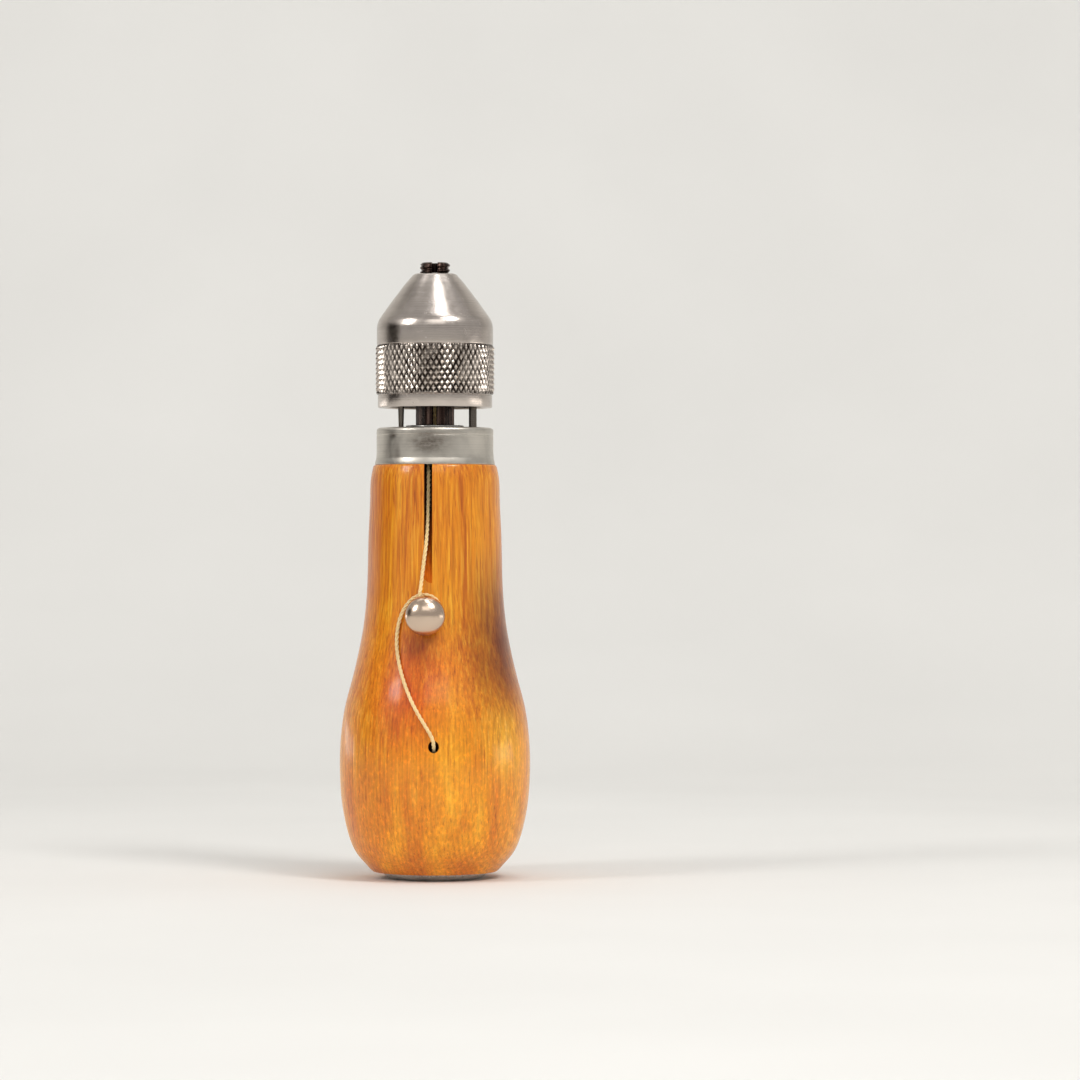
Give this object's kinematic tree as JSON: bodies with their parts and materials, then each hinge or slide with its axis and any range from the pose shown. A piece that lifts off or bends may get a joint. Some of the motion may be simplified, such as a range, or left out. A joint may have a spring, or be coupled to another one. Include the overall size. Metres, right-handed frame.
{
  "type": "sewing awl",
  "caption": "Lock-stitch sewing awl with a turned wood handle that holds a thread reel, a thread tension post, and a knurled conical chuck cap over stored needles.",
  "frame": {"origin": "centre of the thumb wheel's outer face, on which the awl stands", "axes": "+Z along the awl towards the needle end; -Y is the side with the thread groove, the tension post and the thread hole; +X to the right seen from that side"},
  "size_m": [0.0392, 0.0399, 0.1269],
  "materials": {
    "wood": "lacquered hardwood",
    "ferrule_metal": "drawn, satin",
    "cap_metal": "turned and knurled, bright",
    "steel": "machined",
    "dark_steel": "machined, darkened and oiled",
    "needle_steel": "polished",
    "nickel": "polished nickel",
    "reel_metal": "cast and turned",
    "thread": "waxed thread"
  },
  "bodies": {
    "handle": {"handle": "wood", "ferrule": "ferrule_metal", "post_washer": "steel", "needle_post": "dark_steel", "tension_post": "nickel", "reel_screw": "steel", "drag_washer": "steel", "roof_washer": "steel", "thread_lead": "thread"},
    "jaw_ring": {"jaw_ring": "steel"},
    "cap": {"chuck_cap": "cap_metal", "ring_clip": "steel"},
    "reel": {"reel_core": "reel_metal", "reel_inner_flange": "reel_metal", "thumb_wheel": "reel_metal", "thread_winding": "thread"},
    "straight_needle": {"straight_needle": "needle_steel"},
    "curved_needle": {"curved_needle": "needle_steel"},
    "wrench": {"wrench": "steel"}
  },
  "joints": [
    {"name": "cap_travel", "type": "slide", "parent": "handle", "child": "jaw_ring", "axis": [0, 0, 1], "range_m": [-0.00406, 0.00801]},
    {"name": "cap_turn", "type": "hinge", "parent": "jaw_ring", "child": "cap", "pos_m": [0, 0, 0.1184], "axis": [0, 0, 1], "range_deg": [-1458, 2880]},
    {"name": "reel_spin", "type": "hinge", "parent": "handle", "child": "reel", "pos_m": [0, 0, 0.0154], "axis": [0, 0, 1], "continuous": true},
    {"name": "straight_needle_lift", "type": "slide", "parent": "handle", "child": "straight_needle", "axis": [0, 0, 1], "range_m": [0, 0.0045]},
    {"name": "curved_needle_lift", "type": "slide", "parent": "handle", "child": "curved_needle", "axis": [0, 0, 1], "range_m": [0, 0.0045]},
    {"name": "wrench_lift", "type": "slide", "parent": "handle", "child": "wrench", "axis": [0, 0, 1], "range_m": [0, 0.003]}
  ],
  "couplings": [
    {"joint": "cap_travel", "follows": "cap_turn", "m_per_rad": 0.00015915}
  ]
}
